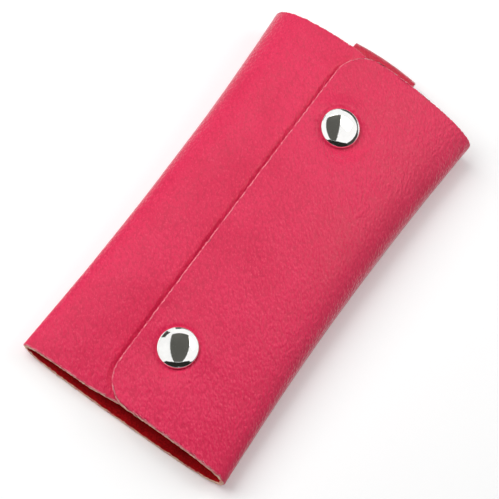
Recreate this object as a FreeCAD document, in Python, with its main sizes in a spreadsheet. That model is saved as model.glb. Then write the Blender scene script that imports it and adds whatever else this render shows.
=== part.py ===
import FreeCAD, Part
import math
import os
import re

# A leather key case that wraps round on itself. It lies on its back: +X to the right fold,
# +Y to the top end with the tab, +Z up through the flap and its press studs.
# The origin is the middle of the back's flat face.

doc = FreeCAD.newDocument("KeyCase")
Vector = FreeCAD.Vector
along_y = Vector(0, 1, 0)
along_z = Vector(0, 0, 1)

# Driving dimensions, in millimetres.
sizes = {
    # outline of the closed wrap
    "case_length": 113.2,
    "width_bottom": 58.3,
    "width_top": 60.9,
    "waist_draw": 3.6,
    "leather": 1.4,
    "front_height_bottom": 8.9,
    "front_height_middle": 14.8,
    "front_height_top": 15.8,
    "inner_height_bottom": 6.2,
    "inner_height_middle": 12.6,
    "inner_height_top": 15.0,
    "right_edge_bottom": 4.8,
    "right_edge_middle": 5.8,
    "right_edge_top": 6.4,
    "left_edge_bottom": 3.6,
    "left_edge_middle": 5.5,
    "left_edge_top": 5.8,
    "lap_gap_bottom": 1.3,
    "lap_gap_middle": 1.6,
    "lap_gap_top": 1.5,
    # folds and free edges
    "back_flat_half": 15.0,
    "lower_fold_half": 22.0,
    "upper_fold_inset": 2.8,
    "fold_gap": 0.3,
    "flap_reach": 8.1,
    "flap_corner_bottom": 8.6,
    "flap_corner_top": 9.5,
    "flap_edge_gap": 0.4,
    "inner_reach": 8.0,
    "inner_corner": 3.0,
    # press studs
    "snap_offset": 1.55,
    "snap_from_bottom": 18.9,
    "snap_from_top": 22.6,
    "cap_radius": 5.15,
    "cap_rim": 0.9,
    "cap_dome": 1.6,
    "cap_seat": 0.2,
    "cap_post_radius": 1.2,
    "cap_flare_radius": 1.8,
    "cap_flare": 0.2,
    "snap_clearance": 0.1,
    "socket_radius": 4.2,
    "socket_plate": 0.4,
    "socket_seat": 0.4,
    "socket_body_radius": 3.3,
    "socket_body": 1.1,
    "socket_lip": 0.3,
    "socket_throat_radius": 2.05,
    "socket_room_radius": 2.45,
    "stud_flange_radius": 3.6,
    "stud_flange": 0.35,
    "stud_seat": 0.3,
    "stud_neck_radius": 1.65,
    "stud_neck": 0.5,
    "stud_bulge_radius": 1.85,
    "stud_bulge": 0.25,
    "stud_crown_radius": 1.3,
    "stud_crown": 0.25,
    "stud_bore": 0.75,
    "post_flange_radius": 3.8,
    "post_flange": 0.5,
    "post_seat": 0.2,
    "post_radius": 0.95,
    "post_grip": 0.6,
    "pin_clearance": 0.05,
    # tab and hook rail
    "strap_width": 18.8,
    "strap_leather": 1.0,
    "strap_gap": 0.5,
    "strap_overhang": 8.2,
    "strap_fold_radius": 2.9,
    "rail_from_top": 21.0,
    "rail_thick": 0.6,
    "rail_depth": 9.5,
    "rail_end_margin": 3.6,
    "rail_lip": 1.2,
    "rail_hole_margin": 0.55,
    "rivet_offset": 6.4,
    "rivet_from_flange": 6.2,
    "rivet_head_radius": 2.1,
    "rivet_head": 0.9,
    "rivet_radius": 1.1,
    "rivet_disc_radius": 2.0,
    "rivet_disc": 0.4,
    # swivel hooks and their gates
    "hook_pitch": 8.5,
    "shank_radius": 0.8,
    "shank_clearance": 0.05,
    "hook_head_radius": 1.3,
    "hook_head": 0.8,
    "hook_shoulder_radius": 1.5,
    "hook_shoulder": 1.6,
    "hook_thick": 1.7,
    "hook_half_width": 3.4,
    "hook_length": 22.0,
    "hook_bar": 1.2,
    "hook_root": 7.6,
    "gate_thick": 0.8,
    "gate_slot": 0.95,
    "gate_pivot": 5.6,
    "gate_eye_radius": 0.9,
    "gate_arm": 1.1,
    "gate_length": 9.6,
    "gate_gap": 0.15,
    "gate_pin_radius": 0.4,
    "gate_pin_clearance": 0.05,
    "gate_pin_fit": 0.01,
    # how far cutting tools run past what they cut
    "overrun": 3.0,
}

# Shapes of the section's curves, as shares of the heights and widths that they join.
rise_share = {"right": (1.0, 0.8, 0.7), "left": (1.0, 0.8, 0.8)}
crown_share = {"right": (0.66, 0.6, 0.28), "left": (0.66, 0.66, 0.62)}
lower_rise_share = 0.85
lower_run_share = 0.6
station_count = 7
panel_points = 13
spine_points = 6
slope_probe_share = 0.1
strap_slope_degrees = 15.0

sheet = doc.addObject("Spreadsheet::Sheet", "Sizes")
for row, (alias, value) in enumerate(sizes.items(), start=1):
    sheet.set(f"A{row}", alias)
    sheet.set(f"B{row}", str(value))
    sheet.setAlias(f"B{row}", alias)
doc.recompute()


def size(alias):
    return float(sheet.get(alias))


case_length = size("case_length")
leather = size("leather")
overrun = size("overrun")
snap_x = size("snap_offset")
bottom_y = -case_length / 2
top_y = case_length / 2
nodes = []


def keep(part, label):
    part.Label = label
    nodes.append(part)
    return part


# Section of the wrap. Each half of a section is two curves that start at the fold's outermost point:
# the upper one runs to the crown over the middle, the lower one to the flat of the back.

def along(name, share):
    first, middle, last = [size(f"{name}_{place}") for place in ("bottom", "middle", "top")]
    return blend(first, middle, last, share)


def blend(first, middle, last, share):
    return (first * (1 - share) * (1 - 2 * share) + middle * 4 * share * (1 - share)
            + last * share * (2 * share - 1))


def half_width(share):
    bottom, top = size("width_bottom"), size("width_top")
    return blend(bottom, (bottom + top) / 2 - size("waist_draw"), top, share) / 2


def crown(side, share):
    return along("front_height" if side == "right" else "inner_height", share)


def upper_curve(side, share, inset):
    reach = half_width(share) - inset
    edge = along(f"{side}_edge", share)
    top = crown(side, share) - inset
    rise = (top - edge) * blend(*rise_share[side], share)
    run = reach * blend(*crown_share[side], share)
    return [(reach, edge), (reach, edge + rise), (run, top), (0, top)]


def lower_curve(side, share, inset):
    reach = half_width(share) - inset
    edge = along(f"{side}_edge", share)
    flat = size("back_flat_half")
    return [(reach, edge), (reach, edge - (edge - inset) * lower_rise_share),
            (flat + (reach - flat) * lower_run_share, inset), (flat, inset)]


def curve_point(poles, step):
    weights = ((1 - step) ** 3, 3 * step * (1 - step) ** 2, 3 * step ** 2 * (1 - step), step ** 3)
    across = sum(weight * pole[0] for weight, pole in zip(weights, poles))
    up = sum(weight * pole[1] for weight, pole in zip(weights, poles))
    return across, up


def crossing(poles, beyond):
    low, high = 0.0, 1.0
    for halving in range(50):
        middle = (low + high) / 2
        if beyond(*curve_point(poles, middle)):
            low = middle
        else:
            high = middle
    return (low + high) / 2


def curve_step(poles, across):
    return crossing(poles, lambda x, z: x > across)


def upper_fold_line(side, share):
    # a straight line that joins points of the outer surface at the two ends
    ends = []
    for end in (0, 1):
        poles = upper_curve(side, end, 0)
        ends.append(curve_point(poles, curve_step(poles, half_width(end) - size("upper_fold_inset"))))
    return [low + (high - low) * share for low, high in zip(*ends)]


def fold_step(poles, side, share, half_gaps):
    # the cut runs from the fold line into the case at 45 degrees
    line_x, line_z = upper_fold_line(side, share)
    offset = half_gaps * size("fold_gap") / math.sqrt(2)
    return crossing(poles, lambda x, z: (x - line_x) - (z - line_z) > offset)


def settled_share(x):
    # nought at the press studs, one at the flap's free edge
    share = min(max((snap_x - x) / (snap_x + size("flap_reach")), 0), 1)
    return share * share * (3 - 2 * share)


def panel_height(side, across, share, inset):
    poles = upper_curve(side, share, inset)
    height = curve_point(poles, curve_step(poles, abs(across)))[1]
    room = crown("right", share) - leather - crown("left", share)
    if side == "right":
        # the flap comes to lie on the inner panel towards its free edge
        return height - (room - size("flap_edge_gap")) * settled_share(across)
    # the inner panel keeps its distance under the flap, for the press studs
    return height + (room - along("lap_gap", share)) * (1 - settled_share(-across))


def panel_points_at(side, end, share, inset):
    poles = upper_curve(side, share, inset)
    start = curve_point(poles, fold_step(poles, side, share, -1))[0]
    places = [start + (end - start) * index / (panel_points - 1) for index in range(panel_points)]
    return [(across, panel_height(side, across, share, inset)) for across in places]


def spine_points_at(side, share, inset):
    upper = upper_curve(side, share, inset)
    lower = lower_curve(side, share, inset)
    last_upper = fold_step(upper, side, share, 1)
    last_lower = curve_step(lower, size("lower_fold_half") + size("fold_gap") / 2)
    steps = [index / spine_points for index in range(spine_points + 1)]
    points = [curve_point(upper, last_upper * (1 - step)) for step in steps]
    return points + [curve_point(lower, last_lower * step) for step in steps[1:]]


def wing_points_at(side, share, inset):
    poles = lower_curve(side, share, inset)
    first = curve_step(poles, size("lower_fold_half") - size("fold_gap") / 2)
    steps = [first + (1 - first) * index / spine_points for index in range(spine_points + 1)]
    return [curve_point(poles, step) for step in steps]


def smooth_edge(points):
    curve = Part.BSplineCurve()
    curve.interpolate(Points=points, Parameters=[float(index) for index in range(len(points))])
    return curve.toShape()


def loft_sheet(section, direction):
    wires = []
    for station in range(station_count):
        share = station / (station_count - 1)
        y = bottom_y + share * case_length
        outer = [Vector(across * direction, y, up) for across, up in section(share, 0)]
        inner = [Vector(across * direction, y, up) for across, up in section(share, leather)]
        wires.append(Part.Wire([smooth_edge(outer), Part.makeLine(outer[-1], inner[-1]),
                                smooth_edge(inner[::-1]), Part.makeLine(inner[0], outer[0])]))
    return Part.makeLoft(wires, True, False)


def rounded_outline(low_x, high_x, corner_x, bottom_corner, top_corner):
    height = size("front_height_middle") + size("front_height_top") + overrun
    outline = Part.makeBox(high_x - low_x, case_length, height, Vector(low_x, bottom_y, -overrun))
    for corner, corner_y in ((bottom_corner, bottom_y), (top_corner, top_y)):
        upright = [edge for edge in outline.Edges if edge.BoundBox.ZLength > leather
                   and abs(edge.BoundBox.Center.x - corner_x) < leather
                   and abs(edge.BoundBox.Center.y - corner_y) < leather]
        outline = outline.makeFillet(corner, upright)
    return outline


# Press studs: each has one axis, square to the flap where it passes through.

class Snap:
    def __init__(self, name, y):
        self.name = name
        share = (y - bottom_y) / case_length
        probe = leather * slope_probe_share
        top = panel_height("right", snap_x, share, 0)
        slope_x = (panel_height("right", snap_x + probe, share, 0) - top) / probe
        slope_y = (panel_height("right", snap_x, share + probe / case_length, 0) - top) / probe
        self.axis = Vector(-slope_x, -slope_y, 1).normalize()
        self.origin = Vector(snap_x, y, top)
        self.to_inner = self.distance_to_inner()

    def distance_to_inner(self):
        depth = leather
        for step in range(20):
            point = self.at(depth)
            share = (point.y - bottom_y) / case_length
            depth += (point.z - panel_height("left", -point.x, share, 0)) / self.axis.z
        return depth

    def at(self, depth):
        return self.origin - self.axis * depth

    def drill(self, radius, start, end):
        return Part.makeCylinder(radius, end - start, self.at(end), self.axis)

    def placement(self, depth):
        return FreeCAD.Placement(self.at(depth), FreeCAD.Rotation(along_z, self.axis))


snaps = [Snap("lower", bottom_y + size("snap_from_bottom")), Snap("upper", top_y - size("snap_from_top"))]


def leather_part(label, shape):
    part = doc.addObject("Part::Feature", label)
    part.Shape = shape
    part.Placement = FreeCAD.Placement()
    return keep(part, label)


def make_back_panel():
    flat = size("back_flat_half")
    shape = Part.makeBox(2 * flat, case_length, leather, Vector(-flat, bottom_y, 0))
    for side, direction in (("right", 1), ("left", -1)):
        wing = loft_sheet(lambda share, inset: wing_points_at(side, share, inset), direction)
        shape = shape.fuse(wing)
    leather_part("back_panel", shape)


def make_spine(label, side, direction):
    leather_part(label, loft_sheet(lambda share, inset: spine_points_at(side, share, inset), direction))


def make_front_flap():
    edge = -size("flap_reach")
    shape = loft_sheet(lambda share, inset: panel_points_at("right", edge - overrun, share, inset), 1)
    shape = shape.common(rounded_outline(edge, size("width_top") / 2 + overrun, edge,
                                         size("flap_corner_bottom"), size("flap_corner_top")))
    for snap in snaps:
        shape = shape.cut(snap.drill(size("cap_radius") + size("snap_clearance"), -overrun, size("cap_seat")))
        shape = shape.cut(snap.drill(size("cap_post_radius") + size("snap_clearance"), -overrun, overrun))
        shape = shape.cut(snap.drill(size("socket_radius") + size("snap_clearance"),
                                     leather - size("socket_seat"), leather + overrun))
    leather_part("front_flap", shape)


def make_inner_panel():
    edge = size("inner_reach")
    shape = loft_sheet(lambda share, inset: panel_points_at("left", -edge - overrun, share, inset), -1)
    shape = shape.common(rounded_outline(-size("width_top") / 2 - overrun, edge, edge,
                                         size("inner_corner"), size("inner_corner")))
    for snap in snaps:
        top = snap.to_inner
        bottom = top + leather
        shape = shape.cut(snap.drill(size("stud_flange_radius") + size("snap_clearance"),
                                     top - overrun, top + size("stud_seat")))
        shape = shape.cut(snap.drill(size("post_radius") + size("snap_clearance"),
                                     top - overrun, bottom + overrun))
        shape = shape.cut(snap.drill(size("post_flange_radius") + size("snap_clearance"),
                                     bottom - size("post_seat"), bottom + overrun))
    leather_part("inner_panel", shape)


# The strap's rear leg lies on the back panel. It folds over past the top end, and its front leg
# comes down a slope to lie under the hook rail.

rail_low = top_y - size("rail_from_top")
strap_leather = size("strap_leather")
strap_front = leather + 2 * strap_leather + size("strap_gap")
rivet_y = rail_low + size("rivet_from_flange")


def make_hook_strap():
    outer = size("strap_fold_radius")
    inner = outer - strap_leather
    fold_y = top_y + size("strap_overhang") - outer
    fold_z = leather + outer
    slope = math.radians(strap_slope_degrees)
    half = size("strap_width") / 2

    def at(y, z):
        return Vector(-half, y, z)

    def on_fold(radius, angle):
        return at(fold_y + radius * math.cos(angle), fold_z + radius * math.sin(angle))

    def knee(radius, level):
        top = on_fold(radius, math.pi / 2 + slope)
        return at(top.y - (top.z - level) / math.tan(slope), level)

    leave = math.pi / 2 + slope
    low_y = rail_low + size("rail_thick")
    outside = [at(low_y, leather), on_fold(outer, -math.pi / 2), on_fold(outer, leave),
               knee(outer, strap_front), at(low_y, strap_front)]
    inside = [at(low_y, leather + strap_leather), on_fold(inner, -math.pi / 2), on_fold(inner, leave),
              knee(inner, strap_front - strap_leather), at(low_y, strap_front - strap_leather)]
    edges = []
    for points, radius in ((outside, outer), (inside, inner)):
        edges.append(Part.makeLine(points[0], points[1]))
        edges.append(Part.Arc(points[1], on_fold(radius, 0), points[2]).toShape())
        edges.append(Part.makeLine(points[2], points[3]))
        edges.append(Part.makeLine(points[3], points[4]))
    edges.append(Part.makeLine(outside[0], inside[0]))
    edges.append(Part.makeLine(outside[4], inside[4]))
    profile = Part.Face(Part.Wire(Part.__sortEdges__(edges)))
    shape = profile.extrude(Vector(2 * half, 0, 0))
    hole_low = strap_front - strap_leather - size("strap_gap") / 2
    for x in (-size("rivet_offset"), size("rivet_offset")):
        shape = shape.cut(Part.makeCylinder(size("rivet_radius") + size("pin_clearance"),
                                            strap_leather + size("strap_gap"), Vector(x, rivet_y, hole_low)))
    leather_part("hook_strap", shape)


# Turned and flat metal pieces are primitives whose sizes are bound to the sheet.

def bound(text):
    return re.sub(r"[a-z_]+", lambda word: f"Sizes.{word.group()}", text)


def bind(part, **properties):
    for name, text in properties.items():
        part.setExpression(name.replace("__", "."), bound(text))
    return part


def set_base(part, base):
    x, y, z = base
    return bind(part, Placement__Base__x=x, Placement__Base__y=y, Placement__Base__z=z)


def disc(name, radius, height, base="0"):
    part = doc.addObject("Part::Cylinder", name)
    return bind(part, Radius=radius, Height=height, Placement__Base__z=base)


def cone(name, low_radius, high_radius, height, base):
    part = doc.addObject("Part::Cone", name)
    return bind(part, Radius1=low_radius, Radius2=high_radius, Height=height, Placement__Base__z=base)


def dome(name, radius, rise, base):
    part = doc.addObject("Part::Sphere", name)
    bind(part, Radius=f"({radius} ^ 2 + {rise} ^ 2) / (2 * {rise})",
         Placement__Base__z=f"{base} - ({radius} ^ 2 - {rise} ^ 2) / (2 * {rise})")
    alias_radius, alias_rise = bound(radius), bound(rise)
    part.setExpression("Angle1", f"asin(({alias_radius} ^ 2 - {alias_rise} ^ 2)"
                                 f" / ({alias_radius} ^ 2 + {alias_rise} ^ 2))")
    return part


def plate(name, low, extent):
    part = doc.addObject("Part::Box", name)
    bind(part, Length=extent[0], Width=extent[1], Height=extent[2])
    return set_base(part, low)


def rod(name, radius, length, centre, axis):
    part = doc.addObject("Part::Cylinder", name)
    part.Placement = FreeCAD.Placement(Vector(), FreeCAD.Rotation(along_z, axis))
    bind(part, Radius=radius, Height=length)
    return set_base(part, centre)


def fuse(name, shapes):
    part = doc.addObject("Part::MultiFuse", name)
    part.Shapes = shapes
    return part


def cut(name, base, tools):
    part = doc.addObject("Part::Cut", name)
    part.Base = base
    part.Tool = tools[0] if len(tools) == 1 else fuse(f"{name}_tools", tools)
    return part


def make_cap(snap):
    name = f"{snap.name}_cap"
    post = "leather - cap_seat - socket_seat + socket_plate"
    part = fuse(name, [
        disc(f"{name}_rim", "cap_radius", "cap_rim"),
        dome(f"{name}_dome", "cap_radius", "cap_dome", "cap_rim"),
        disc(f"{name}_post", "cap_post_radius", post, f"-({post})"),
        disc(f"{name}_flare", "cap_flare_radius", "cap_flare", f"-({post}) - cap_flare")])
    part.Placement = snap.placement(size("cap_seat"))
    keep(part, name)


def make_socket(snap):
    name = f"{snap.name}_socket"
    solid = fuse(f"{name}_blank", [
        disc(f"{name}_plate", "socket_radius", "socket_plate", "socket_body"),
        disc(f"{name}_body", "socket_body_radius", "socket_body")])
    part = cut(name, solid, [
        disc(f"{name}_throat", "socket_throat_radius", "socket_body"),
        disc(f"{name}_room", "socket_room_radius", "socket_body - socket_lip", "socket_lip"),
        disc(f"{name}_hole", "cap_post_radius + pin_clearance", "socket_plate + socket_body")])
    height = size("socket_plate") + size("socket_body")
    part.Placement = snap.placement(leather - size("socket_seat") + height)
    keep(part, name)


def make_stud(snap):
    name = f"{snap.name}_stud"
    solid = fuse(f"{name}_blank", [
        disc(f"{name}_flange", "stud_flange_radius", "stud_flange"),
        disc(f"{name}_neck", "stud_neck_radius", "stud_neck", "stud_flange"),
        disc(f"{name}_bulge", "stud_bulge_radius", "stud_bulge", "stud_flange + stud_neck"),
        cone(f"{name}_crown", "stud_bulge_radius", "stud_crown_radius", "stud_crown",
             "stud_flange + stud_neck + stud_bulge")])
    part = cut(name, solid, [disc(f"{name}_bore", "post_radius + pin_clearance", "stud_bore")])
    part.Placement = snap.placement(snap.to_inner + size("stud_seat"))
    keep(part, name)


def make_post(snap):
    name = f"{snap.name}_post"
    part = fuse(name, [
        disc(f"{name}_flange", "post_flange_radius", "post_flange", "-post_flange"),
        disc(f"{name}_pin", "post_radius", "leather - post_seat - stud_seat + post_grip")])
    part.Placement = snap.placement(snap.to_inner + leather - size("post_seat"))
    keep(part, name)


# Hook rail: a channel with its lower flange drilled for the hooks.

hook_row_shares = (-1.5, -0.5, 0.5, 1.5)
rail_front = "(case_length / 2 - rail_from_top)"
rail_base = "leather + 2 * strap_leather + strap_gap"
rail_half = f"({hook_row_shares[-1]} * hook_pitch + rail_end_margin)"
hole_height = "rail_hole_margin + shank_radius + shank_clearance"
hook_level = f"{rail_base} + rail_thick + {hole_height}"


def make_hook_rail():
    flange = f"rail_thick + 2 * ({hole_height})"
    length = f"2 * {rail_half}"
    corner = (f"-{rail_half}", rail_front, rail_base)
    lip_corner = (f"-{rail_half}", f"{rail_front} + rail_depth - rail_thick", rail_base)
    solid = fuse("rail_blank", [
        plate("rail_base", corner, (length, "rail_depth", "rail_thick")),
        plate("rail_flange", corner, (length, "rail_thick", flange)),
        plate("rail_lip", lip_corner, (length, "rail_thick", "rail_thick + rail_lip"))])
    holes = []
    deep = "3 * rail_thick"
    for number, share in enumerate(hook_row_shares, start=1):
        centre = (f"{share} * hook_pitch", f"{rail_front} - rail_thick", hook_level)
        holes.append(rod(f"shank_hole_{number}", "shank_radius + shank_clearance", deep, centre, along_y))
    for side, sign in (("left", "-"), ("right", "")):
        centre = (f"{sign}rivet_offset", f"{rail_front} + rivet_from_flange", f"{rail_base} - rail_thick")
        holes.append(rod(f"rivet_hole_{side}", "rivet_radius + pin_clearance", deep, centre, along_z))
    keep(cut("hook_rail", solid, holes), "hook_rail")


def make_rail_rivet(side, direction):
    name = f"rail_rivet_{side}"
    grip = "rail_thick + strap_leather"
    part = fuse(name, [
        disc(f"{name}_shank", "rivet_radius", grip, f"-({grip})"),
        dome(f"{name}_head", "rivet_head_radius", "rivet_head", "0")])
    place = Vector(direction * size("rivet_offset"), rivet_y, strap_front + size("rail_thick"))
    part.Placement = FreeCAD.Placement(place, FreeCAD.Rotation())
    keep(part, name)
    back = disc(f"rivet_disc_{side}", "rivet_disc_radius", "rivet_disc",
                f"{rail_base} - strap_leather - rivet_disc")
    bind(back, Placement__Base__x=f"{direction} * rivet_offset",
         Placement__Base__y=f"{rail_front} + rivet_from_flange")
    keep(back, f"rivet_disc_{side}")


# Swivel hooks hang from the rail towards the bottom end. Each is a flat loop whose right bar is a
# sprung gate on a pin.

def hook_frame(share):
    level = (strap_front + size("rail_thick") + size("rail_hole_margin") + size("shank_radius")
             + size("shank_clearance"))
    place = Vector(share * size("hook_pitch"), rail_low, level)
    return FreeCAD.Placement(place, FreeCAD.Rotation())


loop_top = "(pin_clearance + hook_shoulder / 2)"
loop_half = "hook_half_width"
room_half = "(hook_half_width - hook_bar)"
pivot_x = "(hook_half_width - hook_bar / 2)"
pivot_y = f"-({loop_top} + gate_pivot)"
gate_tip = f"({loop_top} + gate_pivot + gate_length)"


def stadium(name, radius, start, end, thick):
    low = f"-({thick}) / 2"
    return [
        rod(f"{name}_top", radius, thick, ("0", f"-({start}) - {radius}", low), along_z),
        plate(f"{name}_middle", (f"-{radius}", f"-({end}) + {radius}", low),
              (f"2 * {radius}", f"({end}) - ({start}) - 2 * {radius}", thick)),
        rod(f"{name}_foot", radius, thick, ("0", f"-({end}) + {radius}", low), along_z)]


def make_key_hook(number, share):
    name = f"key_hook_{number}"
    loop_end = f"{loop_top} + hook_length"
    solid = fuse(f"{name}_blank", [
        rod(f"{name}_head", "hook_head_radius", "hook_head",
            ("0", "rail_thick + pin_clearance", "0"), along_y),
        rod(f"{name}_shank", "shank_radius", "rail_thick + 2 * pin_clearance + hook_shoulder",
            ("0", "-pin_clearance - hook_shoulder", "0"), along_y),
        rod(f"{name}_shoulder", "hook_shoulder_radius", "hook_shoulder",
            ("0", "-pin_clearance - hook_shoulder", "0"), along_y)]
        + stadium(f"{name}_loop", loop_half, loop_top, loop_end, "hook_thick"))
    deep = "2 * hook_thick"
    window = plate(f"{name}_window", (room_half, f"-{gate_tip} - gate_gap", f"-({deep}) / 2"),
                   ("2 * hook_bar", "gate_length - gate_eye_radius", deep))
    slot_end = f"({loop_top} + hook_root + {room_half})"
    slot_start = f"({loop_top} + gate_pivot - gate_eye_radius - gate_gap)"
    slot_left = f"{pivot_x} - gate_eye_radius - gate_arm"
    slot = plate(f"{name}_slot", (slot_left, f"-{slot_end}", "-gate_slot / 2"),
                 ("2 * hook_half_width", f"{slot_end} - {slot_start}", "gate_slot"))
    pin_hole = rod(f"{name}_pin_hole", "gate_pin_radius + gate_pin_fit", deep,
                   (pivot_x, pivot_y, f"-({deep}) / 2"), along_z)
    room = stadium(f"{name}_room", room_half, f"{loop_top} + hook_root", f"{loop_end} - hook_bar", deep)
    part = cut(name, solid, room + [window, slot, pin_hole])
    part.Placement = hook_frame(share)
    keep(part, name)


def make_hook_gate(number, share):
    name = f"hook_gate_{number}"
    solid = fuse(f"{name}_blank", [
        rod(f"{name}_eye", "gate_eye_radius", "gate_thick",
            (pivot_x, pivot_y, "-gate_thick / 2"), along_z),
        plate(f"{name}_arm", (f"{pivot_x} - gate_arm / 2", f"-{gate_tip}", "-gate_thick / 2"),
              ("gate_arm", "gate_length", "gate_thick"))])
    part = cut(name, solid, [
        rod(f"{name}_bore", "gate_pin_radius + gate_pin_clearance", "2 * gate_thick",
            (pivot_x, pivot_y, "-gate_thick"), along_z)])
    part.Placement = hook_frame(share)
    keep(part, name)


def make_gate_pin(number, share):
    name = f"gate_pin_{number}"
    x = f"{share} * hook_pitch + {pivot_x}"
    centre = (x, f"{rail_front} {pivot_y}", f"{hook_level} - hook_thick / 2")
    keep(rod(name, "gate_pin_radius", "hook_thick", centre, along_z), name)


make_back_panel()
make_spine("right_spine", "right", 1)
make_spine("left_spine", "left", -1)
make_front_flap()
make_inner_panel()
make_hook_strap()
for snap in snaps:
    make_cap(snap)
    make_socket(snap)
    make_stud(snap)
    make_post(snap)
make_hook_rail()
make_rail_rivet("left", -1)
make_rail_rivet("right", 1)
for number, share in enumerate(hook_row_shares, start=1):
    make_key_hook(number, share)
    make_hook_gate(number, share)
    make_gate_pin(number, share)

doc.recompute()
for part in doc.Objects:
    if "Invalid" in part.State or "Error" in part.State:
        raise RuntimeError(f"{part.Label} failed: {part.State}")
for part in nodes:
    if part.Shape.isNull() or not part.Shape.isValid() or len(part.Shape.Solids) != 1:
        raise RuntimeError(f"{part.Label} is not one valid solid")

os.makedirs("parts", exist_ok=True)
for part in nodes:
    part.Shape.exportStep(f"parts/{part.Label}.step")
    box = part.Shape.BoundBox
    print(f"{part.Label}: {part.Shape.Volume:.2f} mm3, X {box.XMin:.2f} to {box.XMax:.2f}, "
          f"Y {box.YMin:.2f} to {box.YMax:.2f}, Z {box.ZMin:.2f} to {box.ZMax:.2f}")
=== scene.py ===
import math

import bmesh
import bpy
from mathutils import Matrix, Vector, noise


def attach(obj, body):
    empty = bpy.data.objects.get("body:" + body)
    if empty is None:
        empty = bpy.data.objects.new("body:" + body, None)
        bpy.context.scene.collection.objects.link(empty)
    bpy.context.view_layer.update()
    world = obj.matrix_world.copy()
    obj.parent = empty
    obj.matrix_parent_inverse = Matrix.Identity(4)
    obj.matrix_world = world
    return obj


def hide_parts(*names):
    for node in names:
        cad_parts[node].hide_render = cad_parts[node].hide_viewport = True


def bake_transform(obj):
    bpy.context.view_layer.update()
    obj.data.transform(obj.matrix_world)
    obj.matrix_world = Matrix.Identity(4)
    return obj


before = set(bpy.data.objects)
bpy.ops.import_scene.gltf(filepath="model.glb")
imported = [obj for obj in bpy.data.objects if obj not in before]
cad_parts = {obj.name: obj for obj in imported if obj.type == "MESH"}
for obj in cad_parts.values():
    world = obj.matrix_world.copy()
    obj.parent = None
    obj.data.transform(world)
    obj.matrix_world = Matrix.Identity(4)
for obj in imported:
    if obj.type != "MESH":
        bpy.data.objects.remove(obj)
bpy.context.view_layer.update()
scene = bpy.context.scene
mm = 0.001


# the camera looks down on the case from the mouth's end, rolled so that the case lies aslant, lengths in mm
cameraView = {
    "place": (38.958, -217.928, 455.938),
    "right": (0.81875, 0.54212, 0.18909),
    "up": (-0.56903, 0.72231, 0.39303),
    "ahead": (-0.07649, 0.42939, -0.89988),
    "lens": 146.28,
    "sensor": 36.0,
    "clip": (10, 20000),
}


def makeCamera():
    data = bpy.data.cameras.new("caseCamera")
    data.lens = cameraView["lens"]
    data.sensor_width = cameraView["sensor"]
    data.clip_start, data.clip_end = (limit * mm for limit in cameraView["clip"])
    camera = bpy.data.objects.new("caseCamera", data)
    scene.collection.objects.link(camera)
    turned = Matrix((cameraView["right"], cameraView["up"], -Vector(cameraView["ahead"]))).transposed()
    camera.matrix_world = Matrix.Translation(Vector(cameraView["place"]) * mm) @ turned.to_4x4()
    scene.camera = camera
    print("camera placed")


# node helpers: sockets are set or linked by name, or by number after an underscore

def newMaterial(name):
    material = bpy.data.materials.new(name)
    material.use_nodes = True
    material.node_tree.nodes.clear()
    return material, material.node_tree


def addNode(tree, kind, settings=None, **sockets):
    node = tree.nodes.new(kind)
    for key, value in (settings or {}).items():
        setattr(node, key, value)
    for key, value in sockets.items():
        setSocket(tree, node, key, value)
    return node


def setSocket(tree, node, key, value):
    socket = node.inputs[int(key[1:])] if key[0] == "_" else node.inputs[key.replace("_", " ")]
    if isinstance(value, bpy.types.NodeSocket):
        tree.links.new(value, socket)
    else:
        socket.default_value = value


def mathNode(tree, operation, first, second):
    return addNode(tree, "ShaderNodeMath", {"operation": operation}, _0=first, _1=second).outputs[0]


def noiseNode(tree, place, perMetre, detail, roughness=0.5):
    return addNode(tree, "ShaderNodeTexNoise", Vector=place, Scale=perMetre, Detail=detail,
                   Roughness=roughness).outputs[0]


def remap(tree, value, low, high, outLow, outHigh):
    node = addNode(tree, "ShaderNodeMapRange", {"interpolation_type": "SMOOTHSTEP"}, Value=value)
    for key, number in (("From Min", low), ("From Max", high), ("To Min", outLow), ("To Max", outHigh)):
        node.inputs[key].default_value = number
    return node.outputs["Result"]


def mixColor(tree, factor, first, second):
    node = addNode(tree, "ShaderNodeMix", {"data_type": "RGBA"}, _0=factor, _6=first, _7=second)
    return node.outputs[2]


def closeMaterial(tree, shader):
    output = addNode(tree, "ShaderNodeOutputMaterial")
    tree.links.new(shader.outputs[0], output.inputs["Surface"])


# pink-red hide with a fine grain, drawn out aslant of the case as the hide was cut
grainFinish = {
    "hide": (0.80, 0.023, 0.102, 1),
    "hideDeep": (0.72, 0.016, 0.082, 1),
    # painted shade: the grain is darkened towards its cells' edges and in small pits
    "paintedCreaseShade": (0.52, 0.012, 0.050, 1),
    # painted glints: lighter streaks in the grain
    "paintedGlint": (0.88, 0.075, 0.165, 1),
    "cellsPerMetre": 1550.0,
    "poresPerMetre": 3200.0,
    "patchesPerMetre": 60.0,
    "wanderPerMetre": 1400.0,
    "wander": 0.0006,  # how far the cells stray, in metres
    "drawnOut": 0.5,
    "slant": -38.0,
    "bumpDepth": 0.00022,
    "bumpStrength": 0.6,
    "roughLow": 0.27,
    "roughHigh": 0.40,
    "gloss": 0.25,
    "sheen": 0.85,
    "sheenRough": 0.35,
}
# the strap's copy of the grain is painted darker, as painted shade where it lies below the flap's top end
strapShadedFinish = {**grainFinish, "hide": (0.64, 0.014, 0.052, 1), "hideDeep": (0.55, 0.010, 0.040, 1)}


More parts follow.
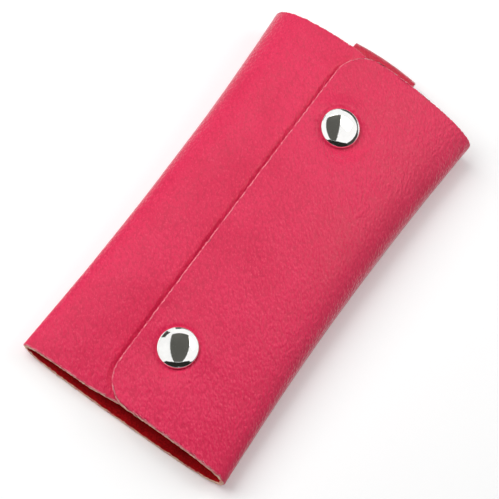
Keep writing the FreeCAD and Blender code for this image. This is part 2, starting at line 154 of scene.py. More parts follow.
def makeGrainMaterial(name, finish):
    material, tree = newMaterial(name)
    place = addNode(tree, "ShaderNodeTexCoord").outputs["Object"]
    turned = addNode(tree, "ShaderNodeMapping", Vector=place, Rotation=(0, 0, math.radians(finish["slant"])))
    drawn = addNode(tree, "ShaderNodeMapping", Vector=turned.outputs[0],
                    Scale=(1, finish["drawnOut"], 1)).outputs[0]
    wander = addNode(tree, "ShaderNodeTexNoise", Vector=drawn, Scale=finish["wanderPerMetre"], Detail=2.0)
    strayed = addNode(tree, "ShaderNodeVectorMath", {"operation": "MULTIPLY_ADD"}, _0=wander.outputs["Color"],
                      _1=(finish["wander"],) * 3, _2=drawn).outputs[0]
    cells = addNode(tree, "ShaderNodeTexVoronoi", {"feature": "SMOOTH_F1"}, Vector=strayed,
                    Scale=finish["cellsPerMetre"], Smoothness=0.4).outputs["Distance"]
    patches = noiseNode(tree, place, finish["patchesPerMetre"], 3.0, 0.55)
    pores = noiseNode(tree, drawn, finish["poresPerMetre"], 2.0)
    finePores = mathNode(tree, "MULTIPLY", pores, 0.3)
    height = mathNode(tree, "ADD", remap(tree, cells, 0.10, 0.70, 1.0, 0.0), finePores)
    height = mathNode(tree, "MULTIPLY", height, remap(tree, patches, 0.35, 0.68, 0.55, 1.0))
    bump = addNode(tree, "ShaderNodeBump", Strength=finish["bumpStrength"], Distance=finish["bumpDepth"],
                   Height=height)
    tone = mixColor(tree, remap(tree, patches, 0.3, 0.7, 0.0, 1.0), finish["hideDeep"], finish["hide"])
    # painted shade in the grain's valleys and pits
    tone = mixColor(tree, remap(tree, cells, 0.42, 0.85, 0.0, 0.35), tone, finish["paintedCreaseShade"])
    tone = mixColor(tree, remap(tree, pores, 0.56, 0.72, 0.0, 0.45), tone, finish["paintedCreaseShade"])
    # painted glints along light streaks
    tone = mixColor(tree, remap(tree, pores, 0.28, 0.44, 0.5, 0.0), tone, finish["paintedGlint"])
    rough = remap(tree, mathNode(tree, "ADD", patches, finePores), 0.4, 0.9,
                  finish["roughLow"], finish["roughHigh"])
    shader = addNode(tree, "ShaderNodeBsdfPrincipled", Base_Color=tone, Roughness=rough,
                     Normal=bump.outputs[0])
    shader.inputs["Specular IOR Level"].default_value = finish["gloss"]
    shader.inputs["Sheen Weight"].default_value = finish["sheen"]
    shader.inputs["Sheen Roughness"].default_value = finish["sheenRough"]
    closeMaterial(tree, shader)
    return material


# flesh side of the hide: a short dark red nap
napFinish = {
    "low": (0.30, 0.004, 0.006, 1),
    "high": (0.62, 0.011, 0.016, 1),
    "fibresPerMetre": 2600.0,
    "brushedPerMetre": 160.0,
    "fibreShare": 0.75,
    "bumpDepth": 0.0002,
    "rough": 0.95,
    "gloss": 0.1,
}


def makeNapMaterial(name, finish):
    material, tree = newMaterial(name)
    place = addNode(tree, "ShaderNodeTexCoord").outputs["Object"]
    fibre = noiseNode(tree, place, finish["fibresPerMetre"], 4.0, 0.7)
    brushed = noiseNode(tree, place, finish["brushedPerMetre"], 3.0)
    both = mathNode(tree, "ADD", mathNode(tree, "MULTIPLY", fibre, finish["fibreShare"]),
                    mathNode(tree, "MULTIPLY", brushed, 1 - finish["fibreShare"]))
    tone = mixColor(tree, remap(tree, both, 0.36, 0.62, 0.0, 1.0), finish["low"], finish["high"])
    bump = addNode(tree, "ShaderNodeBump", Strength=0.5, Distance=finish["bumpDepth"], Height=fibre)
    shader = addNode(tree, "ShaderNodeBsdfPrincipled", Base_Color=tone, Roughness=finish["rough"],
                     Normal=bump.outputs[0])
    shader.inputs["Specular IOR Level"].default_value = finish["gloss"]
    closeMaterial(tree, shader)
    return material


# cut edge: pale tan fibres with flecks of the dye; the grain's own rim is dyed deeper, its pale pink fibres
# partly a painted highlight
edgeFinish = {
    "fibre": (1.0, 0.70, 0.52, 1),
    "dye": (0.86, 0.14, 0.17, 1),
    "shade": (0.35, 0.08, 0.05, 1),
    "dyed": (0.47, 0.66, 0.85),  # where the flecks start, where they are full, and how full
    "fibresPerMetre": 2200.0,
    "flecksPerMetre": 620.0,
    "bumpDepth": 0.0003,
    "rough": 0.9,
    "gloss": 0.2,
}
# the rim's pale pink flecks are partly fibres and partly a painted highlight along the flap's edge
rimHighlightFinish = {**edgeFinish, "fibre": (0.95, 0.27, 0.34, 1), "dye": (0.78, 0.05, 0.13, 1),
             "dyed": (0.40, 0.62, 0.9), "bumpDepth": 0.0002}


def makeEdgeMaterial(name, finish):
    material, tree = newMaterial(name)
    place = addNode(tree, "ShaderNodeTexCoord").outputs["Object"]
    fibre = noiseNode(tree, place, finish["fibresPerMetre"], 5.0, 0.75)
    fleck = noiseNode(tree, place, finish["flecksPerMetre"], 3.0, 0.6)
    start, full, share = finish["dyed"]
    tone = mixColor(tree, remap(tree, fleck, start, full, 0.0, share), finish["fibre"], finish["dye"])
    tone = mixColor(tree, remap(tree, fibre, 0.35, 0.65, 0.2, 0.0), tone, finish["shade"])
    bump = addNode(tree, "ShaderNodeBump", Strength=0.8, Distance=finish["bumpDepth"], Height=fibre)
    shader = addNode(tree, "ShaderNodeBsdfPrincipled", Base_Color=tone, Roughness=finish["rough"],
                     Normal=bump.outputs[0])
    shader.inputs["Specular IOR Level"].default_value = finish["gloss"]
    closeMaterial(tree, shader)
    return material


# plated metals: bright caps, satin fittings
metalGrain = {"cloudsPerMetre": 300.0, "linesPerMetre": 5200.0, "drawnOut": 0.06}
metalFinishes = {
    "capPlate": {"color": (0.98, 0.975, 0.96, 1), "dull": (0.92, 0.915, 0.90, 1),
                 "roughLow": 0.03, "roughHigh": 0.09, "scratch": 0.00001},
    "studPlate": {"color": (0.74, 0.73, 0.71, 1), "dull": (0.60, 0.59, 0.57, 1),
                  "roughLow": 0.16, "roughHigh": 0.30, "scratch": 0.00002},
    "railPlate": {"color": (0.76, 0.75, 0.73, 1), "dull": (0.62, 0.61, 0.59, 1),
                  "roughLow": 0.18, "roughHigh": 0.34, "scratch": 0.00002},
    "hookPlate": {"color": (0.80, 0.79, 0.77, 1), "dull": (0.66, 0.65, 0.63, 1),
                  "roughLow": 0.12, "roughHigh": 0.26, "scratch": 0.00002},
}


def makeMetalMaterial(name):
    finish = metalFinishes[name]
    material, tree = newMaterial(name)
    place = addNode(tree, "ShaderNodeTexCoord").outputs["Object"]
    drawn = addNode(tree, "ShaderNodeMapping", Vector=place, Scale=(1, metalGrain["drawnOut"], 1)).outputs[0]
    clouds = noiseNode(tree, place, metalGrain["cloudsPerMetre"], 3.0)
    lines = noiseNode(tree, drawn, metalGrain["linesPerMetre"], 2.0)
    tone = mixColor(tree, remap(tree, clouds, 0.35, 0.7, 0.0, 1.0), finish["color"], finish["dull"])
    rough = remap(tree, mathNode(tree, "ADD", clouds, mathNode(tree, "MULTIPLY", lines, 0.4)), 0.45, 0.95,
                  finish["roughLow"], finish["roughHigh"])
    bump = addNode(tree, "ShaderNodeBump", Strength=0.3, Distance=finish["scratch"], Height=lines)
    shader = addNode(tree, "ShaderNodeBsdfPrincipled", Base_Color=tone, Metallic=1.0, Roughness=rough,
                     Normal=bump.outputs[0])
    closeMaterial(tree, shader)
    return material


# one cut of leather wrapped round on itself, sizes in mm: values in threes run bottom, middle, top
wrap = {
    "length": 113.2,
    "widthBottom": 58.3,
    "widthTop": 60.9,
    "waistDraw": 3.6,
    "leather": 1.4,
    "height": {"right": (8.9, 14.8, 15.8), "left": (6.2, 12.6, 15.0)},
    "edge": {"right": (4.8, 5.8, 6.4), "left": (3.6, 5.5, 5.8)},
    "rise": {"right": (1.0, 0.8, 0.7), "left": (1.0, 0.8, 0.8)},
    "crown": {"right": (0.66, 0.6, 0.28), "left": (0.66, 0.66, 0.62)},
    "lapGap": (1.3, 1.6, 1.5),
    "lowerRise": 0.85,
    "lowerRun": 0.6,
    "flatHalf": 15.0,
    "crownMargin": 4.0,   # how far past the free edge's reach the crown runs before the fold
    "seamStep": 0.3,      # where two pieces of the sheet meet below a fold
    "backSplit": -14.0,   # where the two pieces of the back meet
    "mouthShare": 0.12,   # how much of the length the shaping at the mouth takes up
}
linePoints = {"crown": 24, "fold": 40, "seam": 10, "back": 24, "halvings": 26, "foldStep": 0.005}
flap = {"reach": 8.1, "corners": (8.6, 9.5), "edgeGap": 0.4, "rows": 300, "columns": 112}
inner = {
    "reach": 8.0,
    "corners": (3.0, 3.0),
    "rows": 240,
    "columns": 116,
    "dent": 0.55,         # the line pressed in by the flap's edge
    "dentWidth": 0.9,
    "dentFrom": 3.0,
    "dentRun": 5.0,
    "tuck": 0.9,          # below the flap's corner the panel's end stands back a little
    "tuckFrom": -10.0,
    "tuckRun": 8.0,
}
back = {"rows": 200, "columns": 84, "bow": 0.5}
backLeft = {"rows": 200, "columns": 36, "bow": 0.5}
studs = {
    "x": 1.55,
    "ys": {"lower": -37.7, "upper": 34.0},
    "lean": {"lower": (-0.10, -0.23), "upper": (0.19, -0.17)},  # how the leather's pull tips each cap
    "holdRadius": 5.2,
    "dimple": 0.32,
    "dimpleWidth": 2.6,
    "groove": 0.3,        # pinched below the cap's rim
    "grooveOut": 0.1,
    "grooveWidth": 0.4,
    "squeeze": 0.8,       # pressed in further than this, the leather gives way below, too
    "leastPress": 0.001,
}
hideSway = {
    "depth": 0.12,
    "scale": 0.055,
    "rippleShare": 0.35,
    "rippleScale": (0.25, 0.11, 0.25),
    "fullHeight": 3.0,    # the sway is full from this height up
}


def ramp(value):
    return min(max(value, 0), 1)


def between(values, share):
    # the parabola through the values at the bottom, the middle and the top
    first, middle, last = values
    ends = first * (1 - share) * (1 - 2 * share) + last * share * (2 * share - 1)
    return ends + middle * 4 * share * (1 - share)


def halfWidth(share):
    low, high = wrap["widthBottom"], wrap["widthTop"]
    return between((low, (low + high) / 2 - wrap["waistDraw"], high), share) / 2


def upperCurve(side, share):
    reach = halfWidth(share)
    edge = between(wrap["edge"][side], share)
    top = between(wrap["height"][side], share)
    rise = (top - edge) * between(wrap["rise"][side], share)
    run = reach * between(wrap["crown"][side], share)
    return [(reach, edge), (reach, edge + rise), (run, top), (0, top)]


def lowerCurve(side, share):
    reach = halfWidth(share)
    edge = between(wrap["edge"][side], share)
    flat = wrap["flatHalf"]
    return [(reach, edge), (reach, edge * (1 - wrap["lowerRise"])),
            (flat + (reach - flat) * wrap["lowerRun"], 0), (flat, 0)]


def curvePoint(poles, step):
    weights = ((1 - step) ** 3, 3 * step * (1 - step) ** 2, 3 * step * step * (1 - step), step ** 3)
    return [sum(weight * pole[axis] for weight, pole in zip(weights, poles)) for axis in (0, 1)]


def heightAt(poles, across):
    low, high = 0.0, 1.0
    for halving in range(linePoints["halvings"]):
        middle = (low + high) / 2
        if curvePoint(poles, middle)[0] > abs(across):
            low = middle
        else:
            high = middle
    return curvePoint(poles, low)[1]


def settle(side, across, share):
    # towards its free edge the flap comes to lie on the inner panel, which keeps its distance at the studs
    x = across if side == "right" else -across
    lap = ramp((studs["x"] - x) / (studs["x"] + flap["reach"]))
    lap = lap * lap * (3 - 2 * lap)
    room = between(wrap["height"]["right"], share) - wrap["leather"] - between(wrap["height"]["left"], share)
    if side == "right":
        return (flap["edgeGap"] - room) * lap
    return (room - between(wrap["lapGap"], share)) * (1 - lap)


def cornerCut(share, corners):
    corner = corners[0] if share < 0.5 else corners[1]
    fromEnd = min(share, 1 - share) * wrap["length"]
    if fromEnd >= corner:
        return 0.0
    return corner - math.sqrt(max(corner ** 2 - (corner - fromEnd) ** 2, 0))


def panelLine(side, share, panel):
    # from the free edge over the crown, round the fold and down to the seam
    upper = upperCurve(side, share)
    edge = -panel["reach"] + cornerCut(share, panel["corners"])
    last = panel["reach"] + wrap["crownMargin"]
    line = []
    for index in range(linePoints["crown"]):
        across = edge + (last - edge) * index / linePoints["crown"]
        line.append([across, heightAt(upper, across)])
    start = 1.0
    while curvePoint(upper, start)[0] < last:
        start -= linePoints["foldStep"]
    count = linePoints["fold"]
    line += [curvePoint(upper, start * (1 - index / count)) for index in range(count)]
    line = [[across, up + settle(side, across, share)] for across, up in line]
    lower, count = lowerCurve(side, share), linePoints["seam"]
    return line + [curvePoint(lower, wrap["seamStep"] * index / count) for index in range(count + 1)]


def backLine(side, share, end):
    # from the seam down to the flat of the back and along it
    lower, count = lowerCurve(side, share), linePoints["back"]
    first = wrap["seamStep"]
    line = [curvePoint(lower, first + (1 - first) * index / count) for index in range(count + 1)]
    return line + [[end, 0]]


def spreadAlong(line, count):
    # evenly spaced points on a line, count steps from end to end
    lengths = [0.0]
    for one, two in zip(line, line[1:]):
        lengths.append(lengths[-1] + math.dist(one, two))
    spread, spot = [], 0
    for index in range(count + 1):
        target = lengths[-1] * index / count
        while spot < len(line) - 2 and lengths[spot + 1] < target:
            spot += 1
        share = (target - lengths[spot]) / max(lengths[spot + 1] - lengths[spot], 1e-9)
        spread.append([a + (b - a) * share for a, b in zip(line[spot], line[spot + 1])])
    return spread


studFrames = {}


def findStuds():
    for name, y in studs["ys"].items():
        share = y / wrap["length"] + 0.5
        here = heightAt(upperCurve("right", share), studs["x"])
        studFrames[name] = Vector((studs["x"], y, here)), Vector((*studs["lean"][name], 1)).normalized()


def swayAt(spot):
    ripple = Vector([part * scale for part, scale in zip(spot, hideSway["rippleScale"])])
    sway = noise.noise(spot * hideSway["scale"]) * hideSway["depth"]
    sway += noise.noise(ripple) * hideSway["depth"] * hideSway["rippleShare"]
    return sway * ramp(spot.z / hideSway["fullHeight"])  # the back stays flat on the table


def dentAt(spot, size):
    # it follows the flap's edge and dies out at its rounded corners
    fromEnd = wrap["length"] / 2 - abs(spot.y)
    depth = size["dent"] * ramp((fromEnd - size["dentFrom"]) / size["dentRun"])
    edgeX = -flap["reach"] + cornerCut(spot.y / wrap["length"] + 0.5, flap["corners"])
    return depth * math.exp(-((spot.x - edgeX) / size["dentWidth"]) ** 2)


def pressAt(spot):
    # each cap holds the leather down, square to its own lean
    pressed = 0.0
    for origin, axis in studFrames.values():
        away = (spot - origin).cross(axis).length - studs["holdRadius"]
        hold = math.exp(-(max(away, 0) / studs["dimpleWidth"]) ** 2)
        pressed -= hold * ((spot - origin).dot(axis) + studs["dimple"])
        pressed -= studs["groove"] * math.exp(-((away - studs["grooveOut"]) / studs["grooveWidth"]) ** 2)
    return pressed


def tagSeams(bm, columns, seamColumns):
    # the grid's points run column by column along each row
    seam = bm.verts.layers.int.get("seam")
    for index, vert in enumerate(bm.verts):
        if index % (columns + 1) in seamColumns:
            vert[seam] = 1


def bendGrid(bm, size, lineAt, mirrored):
    # each row of the flat grid is laid along its section's line
    rows, columns = size["rows"], size["columns"]
    lines = {}
    for vert in bm.verts:
        row = round((vert.co.y + 1) / 2 * rows)
        column = round((vert.co.x + 1) / 2 * columns)
        share = row / rows
        if row not in lines:
            lines[row] = spreadAlong(lineAt(share), columns)
        across, up = lines[row][columns - column if mirrored else column]
        x = -across if mirrored else across
        y = (share - 0.5) * wrap["length"]
        nearMouth = max(1 - share / wrap["mouthShare"], 0) ** 2
        if "bow" in size:
            y -= size["bow"] * nearMouth * (1 - (across / halfWidth(share)) ** 2)
        if "tuck" in size:
            y += size["tuck"] * nearMouth * ramp((x - size["tuckFrom"]) / size["tuckRun"])
        vert.co = (x, y, up)
    bm.normal_update()


def shapeSurface(bm, size, studDimples):
    press = bm.verts.layers.float.get("press")
    beneath = bm.verts.layers.float_vector.get("beneath")
    for vert in bm.verts:
        swell = swayAt(vert.co)
        if "dent" in size:
            swell -= dentAt(vert.co, size)
        if studDimples:
            vert[press] = pressAt(vert.co)
        squeezed = min(vert[press] + studs["squeeze"], 0)
        vert[beneath] = vert.co + vert.normal * (swell - wrap["leather"] + squeezed)
        vert.co += vert.normal * (swell + vert[press])
    bm.normal_update()


# how a sheet ends: the grain's rim is bevelled and its cut is ragged, with the nap frayed over the lower half
sheetEnds = {
    "bevel": 0.30,
    "ragged": 0.16,
    "raggedScale": 1.9,
    "tornScale": 5.3,
    "tornShare": 0.6,
    "napScale": 1.3,
    "napShare": 0.5,
    "bareFrom": 16.0,     # at the folds the cut is bare to the flesh side
    "bareRun": 8.0,
    "bareShare": 0.85,
    "topFacing": 0.3,     # the top end's rim keeps the grain's colour, without the painted highlight
}
grainSide, napSide, cutSide, rimHighlightSide = range(4)  # the order of a sheet's materials


def flattenUnder(bm, underVerts):
    # below a cap the leather lies flat on the socket
    press = bm.verts.layers.float.get("press")
    beneath = bm.verts.layers.float_vector.get("beneath")
    for vert in underVerts:
        if press and abs(vert[press]) > studs["leastPress"]:
            vert.co = vert[beneath]


def sortSides(bm, outer, under):
    # a cut where two pieces of the sheet meet isn't an end
    seam = bm.verts.layers.int.get("seam")
    seamFaces = set()
    for face in bm.faces:
        face.smooth = True
        if face in under:
            face.material_index = napSide
        elif face in outer:
            face.material_index = grainSide
        else:
            face.material_index = cutSide
            if all(vert[seam] for vert in face.verts):
                seamFaces.add(face)
    for edge in bm.edges:
        if any(face in seamFaces for face in edge.link_faces):
            edge.smooth = False
    return seamFaces


def fray(rims, seamFaces):
    for vert in {vert for edge in rims for vert in edge.verts}:
        shake = noise.noise(vert.co * sheetEnds["raggedScale"])
        shake += sheetEnds["tornShare"] * noise.noise(vert.co * sheetEnds["tornScale"])
        away = Vector()
        for face in vert.link_faces:
            if face.material_index == cutSide and face not in seamFaces:
                away += face.normal
        if away.length > 0:
            vert.co += away.normalized() * shake * sheetEnds["ragged"]


def splitCuts(bm, underVerts, seamFaces):
    cuts = [face for face in bm.faces if face.material_index == cutSide and face not in seamFaces]
    uprights = dict.fromkeys(edge for face in cuts for edge in face.edges
                             if len({vert in underVerts for vert in edge.verts}) == 2)
    split = bmesh.ops.subdivide_edges(bm, edges=list(uprights), cuts=1)
    for vert in {item for item in split["geom_inner"] if isinstance(item, bmesh.types.BMVert)}:
        below = [edge.other_vert(vert) for edge in vert.link_edges if edge.other_vert(vert) in underVerts]
        if below:
            bare = ramp((abs(vert.co.x) - sheetEnds["bareFrom"]) / sheetEnds["bareRun"])
            frayed = sheetEnds["napShare"] * noise.noise(vert.co * sheetEnds["napScale"])
            vert.co = vert.co.lerp(below[0].co, frayed * (1 - bare) + sheetEnds["bareShare"] * bare)
    for face in bm.faces:
        lowerHalf = any(vert in underVerts for vert in face.verts)
        if face.material_index == cutSide and face not in seamFaces and lowerHalf:
            face.material_index = napSide


def finishSheet(bm, materials, name, thickness, bevel):
    outer = set(bm.faces)
    made = bmesh.ops.solidify(bm, geom=bm.faces[:], thickness=thickness)
    under = {face for face in made["geom"] if isinstance(face, bmesh.types.BMFace)}
    underVerts = {vert for face in under for vert in face.verts}
    flattenUnder(bm, underVerts)
    seamFaces = sortSides(bm, outer, under)
    rims = [edge for edge in bm.edges
            if len({face.material_index == cutSide for face in edge.link_faces}) == 2
            and not any(face in seamFaces for face in edge.link_faces)]
    fray(rims, seamFaces)
    grainRims = [edge for edge in rims if any(face in outer for face in edge.link_faces)]
    splitCuts(bm, underVerts, seamFaces)
    rounded = bmesh.ops.bevel(bm, geom=grainRims, offset=bevel, segments=2, profile=0.5, affect="EDGES",
                              material=-1, clamp_overlap=False)
    for face in rounded["faces"]:
        # the rounded rim takes the painted highlight, except where it faces the top end
        face.material_index = grainSide if face.normal.y > sheetEnds["topFacing"] else rimHighlightSide
    bmesh.ops.scale(bm, vec=(mm, mm, mm), verts=bm.verts[:])
    mesh = bpy.data.meshes.new(name)
    bm.to_mesh(mesh)
    bm.free()
    for material in materials:
        mesh.materials.append(material)
    piece = bpy.data.objects.new(name, mesh)
    scene.collection.objects.link(piece)
    return piece


def makeSheet(name, size, lineAt, mirrored, seamColumns, materials, studDimples=False):
    bm = bmesh.new()
    bmesh.ops.create_grid(bm, x_segments=size["columns"], y_segments=size["rows"], size=1.0)
    bm.verts.layers.int.new("seam")
    bm.verts.layers.float.new("press")
    bm.verts.layers.float_vector.new("beneath")
    tagSeams(bm, size["columns"], seamColumns)
    bendGrid(bm, size, lineAt, mirrored)
    shapeSurface(bm, size, studDimples)
    piece = finishSheet(bm, materials, name, wrap["leather"], sheetEnds["bevel"])
    print(name, "made:", len(piece.data.polygons), "faces")
    return piece


def bendAtFold(piece):
    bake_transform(piece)


def makeWrap(materials):
    findStuds()
    front = makeSheet("leatherFlap", flap, lambda share: panelLine("right", share, flap), False,
                      [flap["columns"]], materials, True)
    under = makeSheet("leatherInner", inner, lambda share: panelLine("left", share, inner), True,
                      [0], materials)
    right = makeSheet("leatherBack", back, lambda share: backLine("right", share, wrap["backSplit"]),
                      False, [0, back["columns"]], materials)
    left = makeSheet("leatherBackLeft", backLeft, lambda share: backLine("left", share, -wrap["backSplit"]),
                     True, [0, backLeft["columns"]], materials)
    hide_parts("front_flap", "right_spine")
    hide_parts("inner_panel", "left_spine")
    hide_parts("back_panel")
    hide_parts("back_panel")
    for piece in (front, under, right, left):
        bendAtFold(piece)


# the tab: a strap folded over past the top end, its front leg running down under the hook rail, sizes in mm
strap = {
    "width": 18.8,
    "leather": 1.0,
    "overhang": 7.8,
    "foldRadius": 2.9,
    "low": 36.2,
    "front": 3.9,
    "slope": 15.0,
    "bow": 0.7,
    "foldPoints": 24,
    "rows": 60,
    "columns": 150,
    "edgeBevel": 0.22,
}


def strapLine():
    radius, count = strap["foldRadius"], strap["foldPoints"]
    foldY = wrap["length"] / 2 + strap["overhang"] - radius
    foldZ = wrap["leather"] + radius
    slope = math.radians(strap["slope"])
    line = [[strap["low"], wrap["leather"]]]
    for index in range(count + 1):
        angle = -math.pi / 2 + (math.pi + slope) * index / count
        line.append([foldY + radius * math.cos(angle), foldZ + radius * math.sin(angle)])
    lastY, lastZ = line[-1]
    kneeY = lastY - (lastZ - strap["front"]) / math.tan(slope)
    return line + [[kneeY, strap["front"]], [strap["low"], strap["front"]]]


def makeStrap(materials):
    bm = bmesh.new()
    rows, columns = strap["rows"], strap["columns"]
    bmesh.ops.create_grid(bm, x_segments=columns, y_segments=rows, size=1.0)
    bm.verts.layers.int.new("seam")
    line = spreadAlong(strapLine(), columns)
    for vert in bm.verts:
        y, z = line[round((vert.co.x + 1) / 2 * columns)]
        past = max(y - wrap["length"] / 2, 0) / strap["overhang"]  # the fold bows out in the middle
        y += strap["bow"] * past * (0.5 - vert.co.y ** 2)
        vert.co = (vert.co.y * strap["width"] / 2, y, z)
    bm.normal_update()
    piece = finishSheet(bm, materials, "leatherStrap", strap["leather"], strap["edgeBevel"])
    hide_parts("hook_strap")
    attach(piece, "back")
    print("strap made:", len(piece.data.polygons), "faces")


# polished caps: a low dome with a rolled rim, set a little into the leather, sizes in mm
cap = {
    "radius": 5.15,
    "rise": 2.5,
    "seat": 0.15,
    "shoulder": 0.85,     # as a share of the radius; past it the dome falls straight, then rolls over
    "rimRoll": ((0.9, 1), (0.94, 1), (0.955, 1.2), (0.97, 1.6), (0.985, 2.4), (1.0, 4)),
    "undercut": ((0.12, 0.22), (0.5, 0.3)),
    "ringCount": 26,
    "steps": 96,
    "merge": 0.0005,
}


def capProfile():
    radius, shoulder = cap["radius"], math.asin(cap["shoulder"])
    profile = []
    for index in range(cap["ringCount"] + 1):
        angle = shoulder * index / cap["ringCount"]
        profile.append((radius * math.sin(angle), cap["rise"] * math.cos(angle)))
    share, slope = cap["shoulder"], cap["rise"] / radius * math.tan(shoulder)
    for nextShare, bend in cap["rimRoll"]:
        up = profile[-1][1]
        profile.append((radius * nextShare, up - slope * bend * radius * (nextShare - share)))
        share = nextShare
    drop = profile[-1][1] + cap["seat"]
    profile = [(across, up - drop) for across, up in profile]
    profile += [(radius - inward, -cap["seat"] - below) for inward, below in cap["undercut"]]
    return profile + [(0, profile[-1][1])]


def makeCap(name, material):
    origin, axis = studFrames[name]
    bm = bmesh.new()
    verts = [bm.verts.new((across, 0, up)) for across, up in capProfile()]
    edges = [bm.edges.new(pair) for pair in zip(verts, verts[1:])]
    bmesh.ops.spin(bm, geom=verts + edges, cent=(0, 0, 0), axis=(0, 0, 1), angle=2 * math.pi,
                   steps=cap["steps"], use_merge=True)
    bmesh.ops.remove_doubles(bm, verts=bm.verts[:], dist=cap["merge"])
    bmesh.ops.recalc_face_normals(bm, faces=bm.faces[:])
    for face in bm.faces:
        face.smooth = True
    turned = Vector((0, 0, 1)).rotation_difference(axis).to_matrix().to_4x4()
    bmesh.ops.transform(bm, matrix=Matrix.Translation(origin) @ turned, verts=bm.verts[:])
    bmesh.ops.scale(bm, vec=(mm, mm, mm), verts=bm.verts[:])
    mesh = bpy.data.meshes.new(name + "CapShell")
    bm.to_mesh(mesh)
    bm.free()
    mesh.materials.append(material)
    piece = bpy.data.objects.new(name + "CapShell", mesh)
    scene.collection.objects.link(piece)
    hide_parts(name + "_cap")
    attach(piece, "flap")
    print(name, "cap made:", len(mesh.polygons), "faces")


# fittings that keep their CAD shapes take a plated finish
fittingPlates = {
    "studPlate": ("_socket", "_stud", "_post"),
    "railPlate": ("hook_rail", "rail_rivet", "rivet_disc"),
    "hookPlate": ("key_hook", "hook_gate", "gate_pin"),
}


def plateFittings():
    for plate, words in fittingPlates.items():
        material = makeMetalMaterial(plate)
        for name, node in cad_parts.items():
            if any(word in name for word in words):
                node.data.materials.clear()
                node.data.materials.append(material)
    print("fittings plated")


# a white table under three soft lamps, and cards for the caps to reflect, lengths in metres
studio = {
    "floorColor": (0.93, 0.93, 0.93, 1),
    "floorLift": 0.18,
    "floorHalf": 1.6,
    "floorDrop": 0.00005,
    "worldLevel": 0.06,
    "cardWarmth": 0.9,
}
lamps = {
    "leftLamp": {"place": (-0.37, -0.09, 0.46), "size": 0.50, "power": 3.05},
    "rightLamp": {"place": (0.30, 0.32, 0.33), "size": 0.40, "power": 0.95},
    "overheadLamp": {"place": (-0.10, 0.14, 0.60), "size": 0.45, "power": 0.8},
}
# dark cards that the caps reflect: corners as angles right of and above the line to the camera, in degrees
cards = {
    "overheadCard": {"corners": ((-17, -26), (15, -26), (62, 60), (-43, 64)),
                     "distance": 0.30, "tone": 0.10},
    "frontCard": {"corners": ((0, -51), (-95, -30), (-60, -27), (-25, -26), (25, -26), (60, -28), (95, -34)),
                  "distance": 0.34, "tone": 0.02},
    "lowCard": {"corners": ((0, -84), (-85, -54), (-30, -52), (30, -53), (85, -58)),
                "distance": 0.34, "tone": 0.02},
}
# dark boards standing round the table, for the caps' rims and against too much sheen on the folds
boards = {
    "rightBoard": {"ends": ((0.50, 0.50), (0.50, -0.45)), "height": 0.15, "tone": 0.06},
    "rearBoard": {"ends": ((-0.50, 0.50), (0.50, 0.50)), "height": 0.12, "tone": 0.06},
    "leftBoard": {"ends": ((-0.50, 0.02), (-0.44, 0.20)), "height": 0.20, "tone": 0.06},
}
# a bright panel behind and above, which lays a sheen on the leather's upper half
sheenPanel = {
    "corners": ((-0.42, 0.14, 0.50), (0.36, 0.14, 0.50), (0.36, 0.50, 0.44), (-0.42, 0.30, 0.47)),
    "tone": 3.5,
}


def makeWorld():
    world = bpy.data.worlds.new("studioWorld")
    world.use_nodes = True
    tree = world.node_tree
    tree.nodes.clear()
    path = addNode(tree, "ShaderNodeLightPath")
    mirrored = mathNode(tree, "MAXIMUM", path.outputs["Is Glossy Ray"], path.outputs["Is Transmission Ray"])
    seen = mathNode(tree, "MAXIMUM", path.outputs["Is Camera Ray"], mirrored)
    lift = mathNode(tree, "MULTIPLY", seen, 1 - studio["worldLevel"])
    sky = addNode(tree, "ShaderNodeBackground", Strength=mathNode(tree, "ADD", studio["worldLevel"], lift))
    sky.inputs["Color"].default_value = (1, 1, 1, 1)
    output = addNode(tree, "ShaderNodeOutputWorld")
    tree.links.new(sky.outputs[0], output.inputs["Surface"])
    scene.world = world


def makeFloor():
    material, tree = newMaterial("tableWhite")
    path = addNode(tree, "ShaderNodeLightPath")
    seen = mathNode(tree, "MAXIMUM", path.outputs["Is Camera Ray"], path.outputs["Is Glossy Ray"])
    shader = addNode(tree, "ShaderNodeBsdfPrincipled", Roughness=0.9)
    shader.inputs["Base Color"].default_value = studio["floorColor"]
    shader.inputs["Specular IOR Level"].default_value = 0.1
    shader.inputs["Emission Color"].default_value = (1, 1, 1, 1)
    setSocket(tree, shader, "Emission_Strength", mathNode(tree, "MULTIPLY", seen, studio["floorLift"]))
    closeMaterial(tree, shader)
    bm = bmesh.new()
    bmesh.ops.create_grid(bm, x_segments=1, y_segments=1, size=studio["floorHalf"])
    bmesh.ops.translate(bm, vec=(0, 0, -studio["floorDrop"]), verts=bm.verts[:])
    mesh = bpy.data.meshes.new("tableTop")
    bm.to_mesh(mesh)
    bm.free()
    mesh.materials.append(material)
    table = bpy.data.objects.new("tableTop", mesh)
    scene.collection.objects.link(table)


def makeLamp(name, place, size, power):
    data = bpy.data.lights.new(name, "AREA")
    data.shape = "SQUARE"
    data.size = size
    data.energy = power
    lamp = bpy.data.objects.new(name, data)
    lamp.location = place
    lamp.rotation_mode = "QUATERNION"
    lamp.rotation_quaternion = (-Vector(place)).to_track_quat("-Z", "Y")
    lamp.visible_glossy = False  # the surroundings give the sheen
    scene.collection.objects.link(lamp)


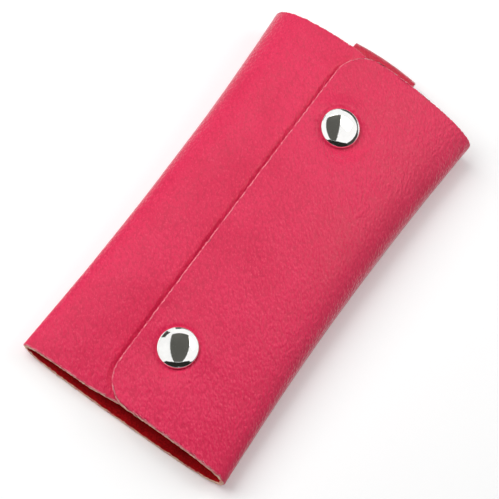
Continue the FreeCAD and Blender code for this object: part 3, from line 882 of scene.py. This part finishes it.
def makeCard(name, corners, tone):
    # only reflections see it, so it takes no light from the case
    material, tree = newMaterial(name)
    shader = addNode(tree, "ShaderNodeEmission", Strength=1.0)
    shader.inputs["Color"].default_value = (tone, tone, tone * studio["cardWarmth"], 1)
    closeMaterial(tree, shader)
    bm = bmesh.new()
    first, *others = [bm.verts.new(corner) for corner in corners]
    for pair in zip(others, others[1:]):
        bm.faces.new((first, *pair))
    mesh = bpy.data.meshes.new(name)
    bm.to_mesh(mesh)
    bm.free()
    mesh.materials.append(material)
    board = bpy.data.objects.new(name, mesh)
    scene.collection.objects.link(board)
    board.visible_camera = False
    board.visible_diffuse = False
    board.visible_shadow = False
    board.visible_transmission = False


def makeCards():
    right, up = Vector(cameraView["right"]), Vector(cameraView["up"])
    toCamera = -Vector(cameraView["ahead"])
    anchor = studFrames["lower"][0] * mm
    for name, card in cards.items():
        corners = []
        for side, rise in (map(math.radians, corner) for corner in card["corners"]):
            level = toCamera * math.cos(side) + right * math.sin(side)
            corners.append(anchor + (level * math.cos(rise) + up * math.sin(rise)) * card["distance"])
        makeCard(name, corners, card["tone"])
    for name, board in boards.items():
        first, second = (Vector((*end, 0)) for end in board["ends"])
        top = Vector((0, 0, board["height"]))
        makeCard(name, (first, second, second + top, first + top), board["tone"])
    makeCard("sheenPanel", sheenPanel["corners"], sheenPanel["tone"])


def makeStudio():
    scene.view_settings.view_transform = "Standard"
    makeWorld()
    makeFloor()
    for name, lamp in lamps.items():
        makeLamp(name, lamp["place"], lamp["size"], lamp["power"])
    makeCards()
    print("studio lit")


makeCamera()
hideGrain = makeGrainMaterial("hideGrain", grainFinish)
hideNap = makeNapMaterial("hideNap", napFinish)
hideEdge = makeEdgeMaterial("hideEdge", edgeFinish)
hideRimHighlight = makeEdgeMaterial("hideRimHighlight", rimHighlightFinish)
strapShadedGrain = makeGrainMaterial("strapShadedGrain", strapShadedFinish)
makeWrap([hideGrain, hideNap, hideEdge, hideRimHighlight])
makeStrap([strapShadedGrain, hideNap, hideEdge, hideRimHighlight])
capPlate = makeMetalMaterial("capPlate")
for studName in studFrames:
    makeCap(studName, capPlate)
plateFittings()
makeStudio()
